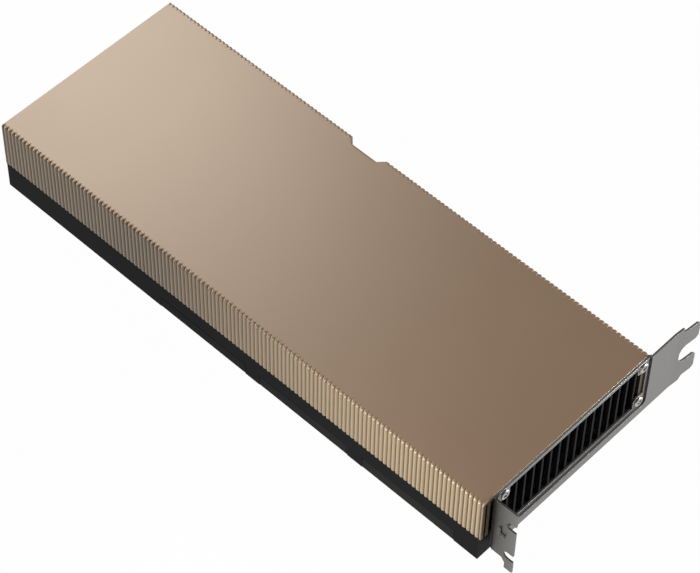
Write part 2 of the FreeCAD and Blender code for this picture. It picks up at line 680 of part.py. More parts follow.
# ---- the bracket and the vent ---------------------------------------------------------------------
def make_bracket():
    """Folded steel sheet: plate, tab with two screw notches, two tongues and two lugs."""
    bracket = body("bracket")
    t, r = bracket_sheet, bracket_bend
    tip, step = TAB_FACE + bracket_length, tongue_offset
    free_end = BRACKET_IN + tab_length
    root, neck = tip - 13.6, tip - 11.6
    strip = sketch(bracket, "bracket_strip", "XY", BASE + 0.1)
    centre = (BRACKET_IN + r, TAB_FACE + r)
    outline(strip, [
        (free_end, TAB_FACE), (BRACKET_IN + r, TAB_FACE), (BRACKET_IN, TAB_FACE + r),
        (BRACKET_IN, root), (BRACKET_IN + step, neck), (BRACKET_IN + step, tip),
        (BRACKET_OUT + step, tip), (BRACKET_OUT + step, neck), (BRACKET_OUT, root),
        (BRACKET_OUT, TAB_FACE + r), (BRACKET_IN + r, TAB_FACE + t), (free_end, TAB_FACE + t)],
        arcs={1: (centre, r), 9: (centre, r - t)})
    high = BOARD_TOP + bracket_height
    pad(bracket, strip, high - (BASE + 0.1))

    # The plate stops at the board; the window is open at the top
    plate = sketch(bracket, "plate_cuts", "YZ", BRACKET_OUT)
    low = BOARD_TOP
    rectangle(plate, TAB_FACE + t, tip + 1, low - 5, low)
    left, right, sill, r = TAB_FACE + 3.1, SIDE + 96.4, TOP - 30.0, size(2.5)
    outline(plate, [
        (left, high + 1), (left, sill), (right - r, sill), (right, sill + r), (right, high + 1)],
        arcs={2: ((right - r, sill + r), r)})
    cut(bracket, plate)

    # Two tongues, each with eased tips, and the round-cornered gap between them
    first = TOP - 27.6
    half = tongue_width / 2
    second = first + slot_pitch
    ends = sketch(bracket, "tongue_cuts", "YZ", BRACKET_OUT)
    ease, out = 1.4, tip + 2
    outline(ends, [
        (tip - 9, low - 1), (out, low - 1), (out, first - half + ease), (tip, first - half + ease),
        (tip - ease, first - half), (tip - 6.6, first - half)])
    gap_r, gap_low, gap_high = 4.0, first + half, second - half
    outline(ends, [
        (out, gap_low - ease), (out, gap_high + ease), (tip, gap_high + ease),
        (tip - ease, gap_high), (tip - 10.2 + gap_r, gap_high), (tip - 10.2, gap_high - gap_r),
        (tip - 10.2, gap_low + gap_r), (tip - 10.2 + gap_r, gap_low), (tip - ease, gap_low),
        (tip, gap_low - ease)],
        arcs={4: ((tip - 10.2 + gap_r, gap_high - gap_r), gap_r),
              6: ((tip - 10.2 + gap_r, gap_low + gap_r), gap_r)})
    outline(ends, [
        (out, second + half - ease), (out, high + 1), (tip - 9.4, high + 1), (tip - 9.4, high - 2.2),
        (tip - 7.4, second + half), (tip - ease, second + half), (tip, second + half - ease)])
    cut(bracket, ends)

    # The tab: screw notches a slot apart, a narrow lower end, and a window under a formed hook
    tab = sketch(bracket, "tab_cuts", "XZ", TAB_FACE - 1)
    upper = TOP - 9.4
    out = free_end + 2
    for level in (upper, upper - slot_pitch):
        w = notch_width / 2
        inner = BRACKET_IN + 7.0 + w
        outline(tab, [
            (out, level - w), (out, level + w), (inner, level + w), (inner - w, level),
            (inner, level - w)], arcs={2: ((inner, level), w), 3: ((inner, level), w)})
    ledge = BRACKET_IN + 6.2
    foot = TOP - 33.4
    outline(tab, [
        (BRACKET_IN - 1, low - 6), (ledge + 1.7, low - 6), (ledge + 1.7, foot - 2.2),
        (ledge, foot), (BRACKET_IN - 1, foot)])
    hook_x, hook_z = BRACKET_IN + 5.0, TOP - 17.6
    rectangle(tab, hook_x, hook_x + 2.3, hook_z - 1.8, hook_z)
    cut(bracket, tab, 3.2)
    hook = sketch(bracket, "tab_hook", "XZ", TAB_FACE - 0.7)
    outline(hook, [
        (hook_x - 1.2, hook_z - 1.5), (hook_x - 0.1, hook_z - 1.5), (hook_x - 0.1, hook_z + 0.1),
        (hook_x + 2.4, hook_z + 0.1), (hook_x + 2.4, hook_z + 0.8), (hook_x + 0.2, hook_z + 0.8),
        (hook_x + 0.2, hook_z + 4.2), (hook_x - 0.7, hook_z + 4.2), (hook_x - 1.2, hook_z + 3.0)])
    pad(bracket, hook, 0.9, reverse=True)

    # Lugs that lie on the board and take the two screws
    lugs = sketch(bracket, "lug_plan", "XY", low)
    for y in LUG_ACROSS:
        rectangle(lugs, LUG_ALONG - 4.5, BRACKET_IN + 0.4, y - 5, y + 5)
    pad(bracket, lugs, t)
    round_edges(bracket, 2.0, wanted=lambda mid, way, length: (
        abs(way.z) > 0.99 and mid.x < LUG_ALONG.value and length < 1.0))
    threads = sketch(bracket, "lug_threads", "XY", low)
    for y in LUG_ACROSS:
        circle(threads, LUG_ALONG, y, lug_screw)
    cut(bracket, threads, 1.5, reverse=True)


def make_vent():
    """Steel frame that shows in the bracket's window, and the black grille behind it."""
    frame = body("vent_frame")
    x = FRONT
    left, right = TAB_FACE + 1.0, FAR_SIDE
    low, ears = TOP - 32.5, 3.2
    in_left, in_right, in_low, in_high = left + 2.5, SIDE + 94.8, TOP - 28.3, TOP - 2.0
    plan = sketch(frame, "vent_plan", "YZ", x)
    rectangle(plan, left, right, low, TOP)
    rectangle(plan, in_left, in_right, in_low, in_high)
    pad(frame, plan, vent_sheet)
    corners = [(VENT_NEAR, VENT_HIGH), (VENT_NEAR, VENT_LOW), (VENT_FAR, VENT_HIGH), (VENT_FAR, VENT_LOW)]
    lobes = sketch(frame, "vent_ears", "YZ", x)
    for y, z in corners:
        near = y is VENT_NEAR
        upper = z is VENT_HIGH
        y_wall = in_left - 0.5 if near else in_right + 0.5
        z_wall = in_high + 0.5 if upper else in_low - 0.5
        y_end = y + (ears if near else -ears)
        z_end = z + (-ears if upper else ears)
        rectangle(lobes, y_wall, y_end, z_wall, z_end)
    pad(frame, lobes, vent_sheet)
    round_edges(frame, 1.8, wanted=lambda mid, way, length: (
        abs(way.x) > 0.99 and VENT_NEAR.value + 3 < mid.y < VENT_FAR.value - 3
        and VENT_LOW.value < mid.z < VENT_HIGH.value and length < 1.0))
    holes = sketch(frame, "vent_frame_holes", "YZ", x)
    for y, z in corners:
        circle(holes, y, z, fine_screw + 0.15)
    cut(frame, holes)

    grille = body("vent_grille")
    base = BOARD_TOP + frame_front_height
    plate = sketch(grille, "grille_plate", "YZ", FRONT)
    near, far = SIDE + 9.0, SIDE + 90.0
    outline(plate, [
        (SIDE + 14.6, base), (far, base), (far, SHROUD_CEILING), (near, SHROUD_CEILING),
        (near, SHROUD_FOOT + 1.4), (SIDE + 14.6, SHROUD_FOOT + 1.4)])
    pad(grille, plate, grille_thick, reverse=True)
    openings = sketch(grille, "grille_slot_shape", "YZ", FRONT)
    long_slot(openings, SIDE + 17.0, TOP - 28.0, TOP - 3.0)
    row = cut(grille, openings, grille_thick + 1)
    pattern(grille, row, "Y", grille_pitch, grille_count - 1)
    last = sketch(grille, "grille_end_slot", "YZ", FRONT)
    long_slot(last, SIDE + 12.0, SHROUD_FOOT + 2.3, TOP - 7.6)
    circle(last, VENT_NEAR, VENT_HIGH, fine_screw + 0.15)
    cut(grille, last, grille_thick + 1)


# ---- the power inlet -------------------------------------------------------------------------------
POWER_Y = SIDE + 22.5


def make_power_inlet():
    """Eight-way power connector at the rear, its sockets facing the server's fans."""
    inlet = body("power_inlet")
    z0 = BOARD_TOP
    plan = sketch(inlet, "inlet_face", "YZ", REAR)
    half = size(9.3)
    rectangle(plan, POWER_Y - half, POWER_Y + half, z0, z0 + 9.8)
    pad(inlet, plan, 14.0)
    ramp = sketch(inlet, "inlet_ramp", "XZ", POWER_Y + 2.2)
    outline(ramp, [
        (REAR + 1.5, z0 + 9.6), (REAR + 5.5, z0 + 9.6), (REAR + 5.5, z0 + 11.2),
        (REAR + 4.6, z0 + 11.2)])
    pad(inlet, ramp, 4.4)
    sockets = sketch(inlet, "inlet_sockets", "YZ", REAR - 1)
    for row in (0, 1):
        for k in range(4):
            y = POWER_Y - 6.3 + 4.2 * k
            z = z0 + 2.8 + 4.2 * row
            rectangle(sockets, y - 1.75, y + 1.75, z - 1.75, z + 1.75)
    cut(inlet, sockets, 11.0, reverse=True)
    pins = []
    for row in (0, 1):
        for k in range(4):
            y = POWER_Y.value - 6.3 + 4.2 * k
            z = z0.value + 2.8 + 4.2 * row
            pins.append(Part.makeBox(8.0, 0.9, 0.9, Vector(REAR.value + 2.0, y - 0.45, z - 0.45)))
    group("power_pins", pins)


# ---- screws -----------------------------------------------------------------------------------------
def screw(shank_r, length, head_r, head_h, sunk=False):
    """One screw along +Z with its head below z = 0: a turned outline, countersunk or flat."""
    under_head = [] if sunk else [(head_r, 0)]
    points = [(0, -head_h), (head_r, -head_h), *under_head, (shank_r, 0), (shank_r, length), (0, length)]
    wire = Part.makePolygon([Vector(x, 0, z) for x, z in points + points[:1]])
    return Part.Face(wire).revolve(Vector(0, 0, 0), Vector(0, 0, 1), 360)


def stand(shape, places, z):
    """The shape at each place on one level."""
    return copies(shape, [(x.value, y.value, size(z).value) for x, y in places])


def make_screws():
    """Every set of like screws is one node."""
    sink = 2.4 - fine_screw.value
    reach = (BOARD_TOP + 6 - BASE).value
    group("shroud_screws", stand(screw(fine_screw.value, reach + 6.5 - sink, 2.4, sink, sunk=True),
                                 CORNER_PLACES, BASE + sink))
    group("cooler_screws", stand(screw(lug_screw.value, 5.6, 3.0, 1.5), COOLER_PLACES, BOARD_BOTTOM))
    group("lug_screws", stand(screw(lug_screw.value, 3.2, 2.9, 1.4), LUG_PLACES, BOARD_BOTTOM))
    vent = screw(fine_screw.value, 5.8, 2.45, 0.9)
    vent.rotate(Vector(0, 0, 0), Vector(0, 1, 0), -90)
    corners = [(y, z) for y in (VENT_NEAR, VENT_FAR) for z in (VENT_HIGH, VENT_LOW)]
    group("vent_screws", copies(vent, [(key_to_bracket.value, y.value, z.value) for y, z in corners]))


# ---- the card ------------------------------------------------------------------------------------------
def check_and_export():
    """Nothing is written unless every object is sound."""
    doc.recompute()
    for thing in doc.Objects:
        if "Invalid" in thing.State or "Error" in thing.State:
            raise RuntimeError(f"{thing.Name} failed: {thing.State}")
    for piece in PARTS:
        if piece.Shape.isNull() or not piece.Shape.isValid() or not piece.Shape.Solids:
            raise RuntimeError(f"{piece.Label} has no sound solid")
    os.makedirs("parts", exist_ok=True)
    for piece in PARTS:
        piece.Shape.exportStep(f"parts/{piece.Label}.step")
        box = piece.Shape.BoundBox
        print(f"{piece.Label:20s} {len(piece.Shape.Solids):3d} solids  "
              f"x {box.XMin:8.2f} {box.XMax:8.2f}  y {box.YMin:8.2f} {box.YMax:8.2f}  "
              f"z {box.ZMin:7.2f} {box.ZMax:7.2f}  {piece.Shape.Volume / 1000:8.2f} cm3")


make_shroud()
make_base_frame()
make_link_covers()
make_board()
make_contacts()
make_package()
make_board_parts()
make_cooler()
make_backplate()
make_insulator()
make_bracket()
make_vent()
make_power_inlet()
make_screws()
check_and_export()
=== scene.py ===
"""The passive accelerator card: its finishes, its finely ribbed shroud, the light and the camera."""
import math

import bmesh
import bpy
import numpy as np
from mathutils import Matrix, Vector


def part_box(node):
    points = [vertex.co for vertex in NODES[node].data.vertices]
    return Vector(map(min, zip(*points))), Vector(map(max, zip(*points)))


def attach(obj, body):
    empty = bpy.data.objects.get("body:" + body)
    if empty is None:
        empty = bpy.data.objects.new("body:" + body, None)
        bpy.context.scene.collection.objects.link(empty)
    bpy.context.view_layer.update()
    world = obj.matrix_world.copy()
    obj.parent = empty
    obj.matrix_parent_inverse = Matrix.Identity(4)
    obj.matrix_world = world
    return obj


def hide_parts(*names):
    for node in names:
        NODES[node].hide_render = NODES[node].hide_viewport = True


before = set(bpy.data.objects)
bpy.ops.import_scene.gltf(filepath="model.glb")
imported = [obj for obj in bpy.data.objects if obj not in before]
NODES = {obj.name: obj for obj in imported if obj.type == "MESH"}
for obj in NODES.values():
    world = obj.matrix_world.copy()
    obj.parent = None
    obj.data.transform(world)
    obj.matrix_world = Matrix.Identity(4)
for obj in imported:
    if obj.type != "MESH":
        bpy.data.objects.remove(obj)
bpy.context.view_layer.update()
SCENE = bpy.context.scene
MM = 0.001


# ---- places, from the frame --------------------------------------------------------------------
def corner(node):
    """Lowest and highest corner of a node, as two numpy arrays in metres."""
    low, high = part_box(node)
    return np.array(low), np.array(high)


# The shroud's box, the height of its ribbed walls, and what its neighbours set
SHROUD_LOW, SHROUD_HIGH = corner("shroud")
REAR, SIDE, POST_FOOT = map(float, SHROUD_LOW)
FRONT, FAR_SIDE, TOP = map(float, SHROUD_HIGH)
FOOT = TOP - 24.65 * MM
FLOOR_LEVEL = corner("base_frame")[0][2] - 0.2 * MM
VENT_FACE = corner("vent_frame")[1][0]

# The ribs, the sheet behind them, and the rounding at the roof and the foot
RIB_COUNT = 123
RIB_PITCH = (FRONT - REAR) / RIB_COUNT
RIB_DEPTH = 1.2 * MM
WALL = 1.8 * MM
ROOF = 1.6 * MM
EDGE_RADIUS = 1.1 * MM
END_BEVEL = 0.35 * MM

# The latch gap in the far wall: where it starts and ends, how deep it is, how long its ramps are
GAP_START, GAP_END = FRONT - 159.5 * MM, FRONT - 139.8 * MM
GAP_DEPTH, GAP_RAMP = 3.2 * MM, 3.1 * MM

# The shroud's corner posts
POST_ALONG = (FRONT - 10.3 * MM, FRONT - 260 * MM)
POST_ACROSS = (SIDE + 6 * MM, SIDE + 91 * MM)
POST_HALF = 2.8 * MM


# ---- shader building blocks ----------------------------------------------------------------------
def node(tree, kind, **settings):
    """Adds one shader node and sets its properties and its inputs' values."""
    made = tree.nodes.new(kind)
    for name, value in settings.items():
        if hasattr(made, name) and name not in made.inputs:
            setattr(made, name, value)
        else:
            made.inputs[name].default_value = value
    return made


def group(name, inputs, outputs):
    """An empty shader node group with float or colour sockets, its input and output nodes."""
    tree = bpy.data.node_groups.new(name, "ShaderNodeTree")
    kinds = {float: "NodeSocketFloat", tuple: "NodeSocketColor", "vector": "NodeSocketVector"}
    for label, value in inputs.items():
        kind = kinds["vector"] if value == "vector" else kinds[type(value)]
        socket = tree.interface.new_socket(name=label, in_out="INPUT", socket_type=kind)
        if value != "vector":
            socket.default_value = value
    for label, kind in outputs.items():
        tree.interface.new_socket(name=label, in_out="OUTPUT", socket_type=kinds[kind])
    return tree, tree.nodes.new("NodeGroupInput"), tree.nodes.new("NodeGroupOutput")


def place(tree, shared, **values):
    """Puts a shared group into a material, with that material's own values."""
    made = tree.nodes.new("ShaderNodeGroup")
    made.node_tree = shared
    for name, value in values.items():
        made.inputs[name.replace("_", " ")].default_value = value
    return made


def mix_colour(tree, factor, first, second, blend="MIX"):
    """A colour mix whose inputs may be sockets or plain colours."""
    made = node(tree, "ShaderNodeMix", data_type="RGBA", blend_type=blend)
    for slot, value in ((0, factor), (6, first), (7, second)):
        if isinstance(value, bpy.types.NodeSocket):
            tree.links.new(value, made.inputs[slot])
        else:
            made.inputs[slot].default_value = value
    return made.outputs[2]


def arithmetic(tree, operation, first, second, added=None, clamp=False):
    """One math node whose inputs may be sockets or plain numbers."""
    made = node(tree, "ShaderNodeMath", operation=operation, use_clamp=clamp)
    for slot, value in enumerate((first, second, added)):
        if isinstance(value, bpy.types.NodeSocket):
            tree.links.new(value, made.inputs[slot])
        elif value is not None:
            made.inputs[slot].default_value = value
    return made.outputs[0]


def axes(tree, vector):
    """The three parts of a vector socket."""
    made = tree.nodes.new("ShaderNodeSeparateXYZ")
    tree.links.new(vector, made.inputs[0])
    return made.outputs


def build_blasted_grain():
    """Bead-blasted grain: broad noise gives a value round 0.5, and fine noise gives a height."""
    tree, given, gives = group(
        "blasted grain", {"Position": "vector", "Grain Size": 0.18}, {"Value": float, "Height": float})
    scale = arithmetic(tree, "DIVIDE", 1000.0, given.outputs["Grain Size"])
    fine = node(tree, "ShaderNodeTexNoise", Detail=2.0, Roughness=0.6)
    broad = node(tree, "ShaderNodeTexNoise", Detail=3.0, Scale=34.0, Roughness=0.5)
    for texture in (fine, broad):
        tree.links.new(given.outputs["Position"], texture.inputs["Vector"])
    tree.links.new(scale, fine.inputs["Scale"])
    tree.links.new(fine.outputs[0], gives.inputs["Height"])
    tree.links.new(broad.outputs[0], gives.inputs["Value"])
    return tree


def build_brushed_lines():
    """Long thin brush lines: noise stretched a hundredfold along one axis."""
    tree, given, gives = group(
        "brushed lines", {"Position": "vector", "Line Width": 0.12}, {"Value": float, "Height": float})
    stretch = node(tree, "ShaderNodeVectorMath", operation="MULTIPLY")
    stretch.inputs[1].default_value = (1.0, 0.012, 1.0)
    tree.links.new(given.outputs["Position"], stretch.inputs[0])
    lines = node(tree, "ShaderNodeTexNoise", Detail=3.0, Roughness=0.7)
    tree.links.new(stretch.outputs[0], lines.inputs["Vector"])
    tree.links.new(arithmetic(tree, "DIVIDE", 1000.0, given.outputs["Line Width"]), lines.inputs["Scale"])
    tree.links.new(lines.outputs[0], gives.inputs["Value"])
    tree.links.new(lines.outputs[0], gives.inputs["Height"])
    return tree


def build_edge_wear():
    """Convex edges, found by comparing the rounded normal with the face's own, as a mask."""
    tree, given, gives = group("edge wear", {"Radius": 0.0003, "Strength": 6.0}, {"Mask": float})
    bevel = node(tree, "ShaderNodeBevel", samples=4)
    tree.links.new(given.outputs["Radius"], bevel.inputs["Radius"])
    face = node(tree, "ShaderNodeNewGeometry")
    dot = node(tree, "ShaderNodeVectorMath", operation="DOT_PRODUCT")
    tree.links.new(bevel.outputs[0], dot.inputs[0])
    tree.links.new(face.outputs["Normal"], dot.inputs[1])
    turned = arithmetic(tree, "SUBTRACT", 1.0, dot.outputs["Value"], clamp=True)
    tree.links.new(
        arithmetic(tree, "MULTIPLY", turned, given.outputs["Strength"], clamp=True), gives.inputs["Mask"])
    return tree


BLASTED = build_blasted_grain()
BRUSHED = build_brushed_lines()
WORN = build_edge_wear()


def start_material(name):
    """A new node material: its tree, its Principled shader and object coordinates."""
    made = bpy.data.materials.new(name)
    made.use_nodes = True
    tree = made.node_tree
    shader = tree.nodes["Principled BSDF"]
    coordinates = tree.nodes.new("ShaderNodeTexCoord").outputs["Object"]
    return made, tree, shader, coordinates


def bump(tree, shader, height, distance):
    """Feeds a height into the shader's normal."""
    made = node(tree, "ShaderNodeBump", Distance=distance, Strength=1.0)
    tree.links.new(height, made.inputs["Height"])
    tree.links.new(made.outputs[0], shader.inputs["Normal"])


def drifting_roughness(tree, shader, value, middle, swing):
    """Roughness that swings about its middle with a value round 0.5."""
    rough = arithmetic(tree, "MULTIPLY_ADD", value, swing, middle - swing / 2)
    tree.links.new(rough, shader.inputs["Roughness"])


def metal(name, colour, dark, roughness, metallic=1.0):
    """Blasted or cast metal: grain in its height, slow drift in its colour and roughness."""
    made, tree, shader, at = start_material(name)
    shader.inputs["Metallic"].default_value = metallic
    shader.inputs["Specular IOR Level"].default_value = 0.3
    texture = place(tree, BLASTED, Grain_Size=0.18)
    tree.links.new(at, texture.inputs["Position"])
    tree.links.new(mix_colour(tree, texture.outputs["Value"], dark, colour), shader.inputs["Base Color"])
    drifting_roughness(tree, shader, texture.outputs["Value"], roughness, 0.08)
    bump(tree, shader, texture.outputs["Height"], 0.004 * MM)
    return made


def groove_shade_mask(tree, across, along, upright_share):
    """How deep a point lies behind the ribs' crests, as 0 to 1 over 2 mm. It places the painted shade in
    the grooves.

    It holds on upright faces only. The near front corner's end faces lie in the open, so there it is 0.
    """
    full, skin, near_corner = 2.0 * MM, 0.05 * MM, 10 * MM
    from_near = arithmetic(tree, "SUBTRACT", across, SIDE)
    from_far = arithmetic(tree, "SUBTRACT", FAR_SIDE, across)
    depth = arithmetic(tree, "DIVIDE", arithmetic(tree, "MINIMUM", from_near, from_far), full, clamp=True)
    behind_end = arithmetic(tree, "SUBTRACT", FRONT - skin, along)
    past_corner = arithmetic(tree, "SUBTRACT", across, SIDE + near_corner)
    covered = arithmetic(tree, "MAXIMUM", behind_end, past_corner)
    depth = arithmetic(tree, "MULTIPLY", depth, arithmetic(tree, "DIVIDE", covered, skin, clamp=True))
    return arithmetic(tree, "MULTIPLY", depth, upright_share)


def front_bevel_highlight_mask(tree, facing_front, up, along):
    """The roof's front bevel, for a painted highlight: faces turned half up and half forward, close to
    the end.
    """
    half_way = arithmetic(
        tree, "MULTIPLY", arithmetic(tree, "MULTIPLY", facing_front, up), 1.9, clamp=True)
    past = arithmetic(tree, "SUBTRACT", along, FRONT - 0.8 * MM)
    return arithmetic(tree, "MULTIPLY", half_way, arithmetic(tree, "DIVIDE", past, 0.2 * MM, clamp=True))


def ribbed_gold():
    """Gold anodising: blasted metal with light and shade painted into its colour after the shape under
    it.

    Upright faces are painted a little paler and yellower, a painted sheen. Painted shade darkens the
    grooves, a painted highlight lies on the rounded upper edges, and a painted bright highlight lies on
    the bevel along the roof's front edge. The coat's sheen is strongest on top and fades out in the
    grooves.
    """
    made = metal("gold anodised aluminium", (0.305, 0.190, 0.122, 1), (0.278, 0.172, 0.111, 1), 0.45,
                 metallic=0.15)
    tree = made.node_tree
    shader = tree.nodes["Principled BSDF"]
    facing = axes(tree, tree.nodes.new("ShaderNodeNewGeometry").outputs["Normal"])
    along, across, _ = axes(tree, tree.nodes["Texture Coordinate"].outputs["Object"])
    up = arithmetic(tree, "MAXIMUM", facing["Z"], 0.0)
    upright_share = arithmetic(tree, "SUBTRACT", 1.0, up)
    groove = groove_shade_mask(tree, across, along, upright_share)
    level = arithmetic(tree, "MULTIPLY", up, up)
    rounded = arithmetic(tree, "MULTIPLY", level, arithmetic(tree, "SUBTRACT", 1.0, level))
    body = shader.inputs["Base Color"].links[0].from_socket
    for mask, colour, blend in (
            # Painted sheen: upright faces are tinted paler and yellower.
            (upright_share, (1.0, 1.16, 1.12, 1), "MULTIPLY"),
            # Painted shade in the grooves.
            (arithmetic(tree, "MULTIPLY", groove, 0.95), (0.05, 0.03, 0.018, 1), "MIX"),
            # Painted highlight on the rounded upper edges.
            (rounded, (0.50, 0.37, 0.25, 1), "MIX"),
            # Painted bright highlight on the front bevel.
            (front_bevel_highlight_mask(tree, facing["X"], up, along), (0.95, 0.80, 0.60, 1), "MIX")):
        body = mix_colour(tree, mask, body, colour, blend)
    tree.links.new(body, shader.inputs["Base Color"])
    sheen = arithmetic(tree, "MULTIPLY_ADD", up, 0.5, 0.5)
    sheen = arithmetic(tree, "MULTIPLY", sheen, arithmetic(tree, "SUBTRACT", 1.0, groove))
    tree.links.new(sheen, shader.inputs["Coat Weight"])
    shader.inputs["Coat Roughness"].default_value = 0.38
    shader.inputs["Coat IOR"].default_value = 1.74
    return made


def steel(name, colour, dark, roughness, rubbed=0.3):
    """Brushed sheet steel with brighter worn edges.

    Near the shroud's side a painted shade darkens it towards the fold beside the shroud, over 16 mm.
    """
    made, tree, shader, at = start_material(name)
    shader.inputs["Metallic"].default_value = 0.4
    lines = place(tree, BRUSHED, Line_Width=0.12)
    tree.links.new(at, lines.inputs["Position"])
    worn = place(tree, WORN, Radius=0.3 * MM, Strength=4.0)
    body = mix_colour(tree, lines.outputs["Value"], dark, colour)
    body = mix_colour(tree, worn.outputs["Mask"], body, (rubbed, rubbed, rubbed, 1))
    along, across, _ = axes(tree, at)
    # Painted shade: dark on the near flange close to the fold beside the shroud, fading out over 16 mm
    # from the fold.
    from_fold = arithmetic(tree, "SUBTRACT", along, FRONT + 1.0 * MM)
    from_side = arithmetic(tree, "MULTIPLY_ADD", across, 4.0, -4.0 * (SIDE + 5.0 * MM))
    clear = arithmetic(
        tree, "DIVIDE", arithmetic(tree, "MAXIMUM", from_fold, from_side), 16.0 * MM, clamp=True)
    tree.links.new(mix_colour(tree, clear, (0.012, 0.011, 0.010, 1), body), shader.inputs["Base Color"])
    drifting_roughness(tree, shader, lines.outputs["Value"], roughness, 0.16)
    bump(tree, shader, lines.outputs["Height"], 0.004 * MM)
    return made


def plastic(name, colour, light, roughness, grain=0.25, gloss=0.5):
    """Moulded plastic or paint: fine texture, and edges a little lighter where they are rubbed."""
    made, tree, shader, at = start_material(name)
    shader.inputs["Specular IOR Level"].default_value = gloss
    texture = place(tree, BLASTED, Grain_Size=grain)
    tree.links.new(at, texture.inputs["Position"])
    worn = place(tree, WORN, Radius=0.3 * MM, Strength=2.0)
    mask = arithmetic(tree, "MULTIPLY", worn.outputs["Mask"], 0.6)
    body = mix_colour(tree, texture.outputs["Value"], colour, tuple(c * 1.25 for c in colour[:3]) + (1,))
    tree.links.new(mix_colour(tree, mask, body, light), shader.inputs["Base Color"])
    shader.inputs["Roughness"].default_value = roughness
    bump(tree, shader, texture.outputs["Height"], 0.01 * MM)
    return made


# ---- the card's finishes ---------------------------------------------------------------------------
GOLD = ribbed_gold()
STEEL = steel("satin stainless steel", (0.160, 0.152, 0.148, 1), (0.114, 0.107, 0.105, 1), 0.36)
SURROUND = steel(
    "rubbed steel surround", (0.18, 0.178, 0.175, 1), (0.13, 0.128, 0.126, 1), 0.34, rubbed=0.8)
BLACK_FRAME = plastic(
    "satin black frame", (0.0035, 0.0037, 0.004, 1), (0.03, 0.03, 0.032, 1), 0.42, gloss=0.02)
BLACK_COVER = plastic(
    "matt black cover", (0.010, 0.010, 0.0105, 1), (0.04, 0.04, 0.04, 1), 0.55, gloss=0.03)
BLACK_GRILLE = plastic(
    "black grille", (0.010, 0.010, 0.011, 1), (0.03, 0.03, 0.033, 1), 0.6, gloss=0.05)
BOARD = plastic("dark circuit board", (0.008, 0.020, 0.012, 1), (0.10, 0.10, 0.05, 1), 0.32, grain=0.6)
CONTACT = metal("gold plated contacts", (0.90, 0.62, 0.25, 1), (0.80, 0.55, 0.22, 1), 0.22)
FINS = metal("bare aluminium fins", (0.62, 0.63, 0.65, 1), (0.52, 0.53, 0.55, 1), 0.34)
COPPER = metal("copper", (0.80, 0.40, 0.26, 1), (0.70, 0.33, 0.20, 1), 0.32)
BACKPLATE = plastic("black anodised sheet", (0.012, 0.012, 0.013, 1), (0.06, 0.06, 0.06, 1), 0.40)
ZINC = metal("zinc plated screws", (0.50, 0.49, 0.47, 1), (0.40, 0.39, 0.38, 1), 0.32)
OXIDE = metal("black oxide screws", (0.045, 0.045, 0.048, 1), (0.03, 0.03, 0.032, 1), 0.35)
CHIP = plastic("chip moulding", (0.02, 0.02, 0.021, 1), (0.05, 0.05, 0.05, 1), 0.5)
FERRITE = plastic("ferrite", (0.09, 0.09, 0.095, 1), (0.14, 0.14, 0.14, 1), 0.6)
CARRIER = plastic("green laminate", (0.02, 0.09, 0.04, 1), (0.05, 0.12, 0.06, 1), 0.4)
PAD = plastic("soft thermal pad", (0.30, 0.34, 0.40, 1), (0.36, 0.40, 0.46, 1), 0.75)
SILICON = metal("polished silicon", (0.10, 0.10, 0.13, 1), (0.07, 0.07, 0.09, 1), 0.12)

FINISH = {
    "shroud": GOLD, "base_frame": BLACK_FRAME, "link_cover_front": BLACK_COVER,
    "link_cover_middle": BLACK_COVER, "link_cover_rear": BLACK_COVER, "circuit_board": BOARD,
    "edge_contacts": CONTACT, "package_carrier": CARRIER, "package_stiffener": ZINC,
    "processor_die": SILICON, "memory_stacks": CHIP, "thermal_paste": PAD, "power_inductors": FERRITE,
    "power_stages": CHIP, "bulk_capacitors": CHIP, "control_chips": CHIP, "coil_thermal_pads": PAD,
    "vapour_chamber": COPPER, "fin_stack": FINS, "backplate": BACKPLATE, "insulator_film": BACKPLATE,
    "bracket": STEEL, "vent_frame": STEEL, "vent_grille": BLACK_GRILLE, "power_inlet": BLACK_COVER,
    "power_pins": CONTACT, "shroud_screws": OXIDE, "cooler_screws": ZINC, "lug_screws": ZINC,
    "vent_screws": ZINC}

for name, finish in FINISH.items():
    slots = NODES[name].data.materials
    for i in range(len(slots)):
        slots[i] = finish


# ---- surfaces worked out with numpy -----------------------------------------------------------------
def shell(loops):
    """A closed skin over a row of closed loops.

    loops is stations by points by 3. Neighbouring loops are joined by four-sided faces, and the first
    and the last are filled. The faces are turned so that the enclosed volume comes out positive.
    """
    stations, points = loops.shape[:2]
    corners = loops.reshape(-1, 3)
    a = np.arange(stations - 1)[:, None] * points + np.arange(points)[None, :]
    b = np.arange(stations - 1)[:, None] * points + (np.arange(points)[None, :] + 1) % points
    quads = np.stack([a, b, b + points, a + points], -1).reshape(-1, 4)
    caps = [np.arange(points)[::-1], (stations - 1) * points + np.arange(points)]
    halves = np.vstack([quads[:, [0, 1, 2]], quads[:, [0, 2, 3]]] + [
        np.stack([np.full(points - 2, cap[0]), cap[1:-1], cap[2:]], -1) for cap in caps])
    p, q, r = (corners[halves[:, k]] for k in range(3))
    faces = quads.tolist() + [cap.tolist() for cap in caps]
    if np.einsum("ij,ij->i", p, np.cross(q, r)).sum() < 0:
        faces = [face[::-1] for face in faces]
    return corners, faces


def piece(name, shells, finish, stands_for, crease=40):
    """One object made of several skins, smooth except where faces meet at more than the crease."""
    corners, faces, start = [], [], 0
    for points, polygons in shells:
        corners.append(points)
        faces += [[start + k for k in polygon] for polygon in polygons]
        start += len(points)
    mesh = bpy.data.meshes.new(name)
    mesh.from_pydata(np.vstack(corners).tolist(), [], faces)
    mesh.polygons.foreach_set("use_smooth", np.ones(len(mesh.polygons), bool))
    mesh.set_sharp_from_angle(angle=math.radians(crease))
    mesh.materials.append(finish)
    made = bpy.data.objects.new(name, mesh)
    SCENE.collection.objects.link(made)
    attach(made, "root")
    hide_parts(stands_for)


